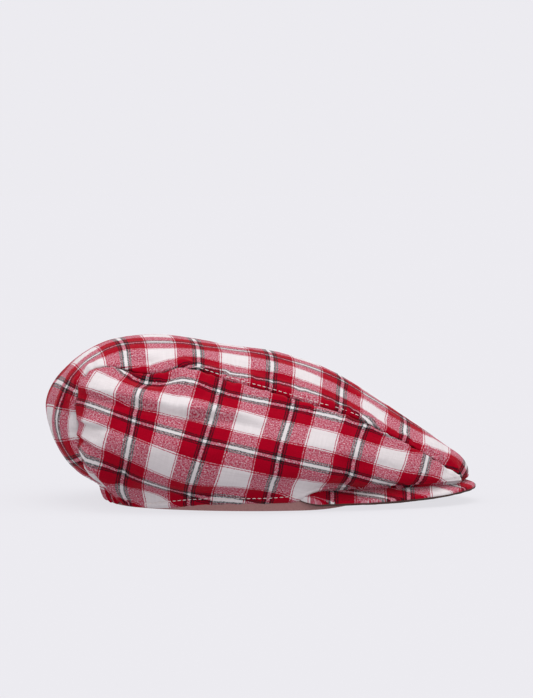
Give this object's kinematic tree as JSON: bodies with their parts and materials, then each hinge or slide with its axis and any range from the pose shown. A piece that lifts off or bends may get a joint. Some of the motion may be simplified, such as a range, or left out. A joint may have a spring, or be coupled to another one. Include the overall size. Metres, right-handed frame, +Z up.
{
  "type": "flat cap",
  "caption": "Child's check cotton flat cap with a full crown, a short curved peak, a plain sweatband and a gathered band at the rear.",
  "frame": {"origin": "bottom centre of the bounding box, on the surface that the sweatband's lower edge stands on", "axes": "+X towards the peak, +Z up, -Y on the cap's right side"},
  "size_m": [0.2517, 0.1828, 0.0974],
  "materials": {
    "check_cotton": "matte woven cotton, red, white and black check",
    "sweatband_cotton": "matte plain cotton, dusty rose"
  },
  "bodies": {
    "root": {"top_panel": "check_cotton", "side_panel_right": "check_cotton", "side_panel_left": "check_cotton", "peak": "check_cotton", "back_band": "check_cotton", "sweatband": "sweatband_cotton"}
  },
  "joints": []
}
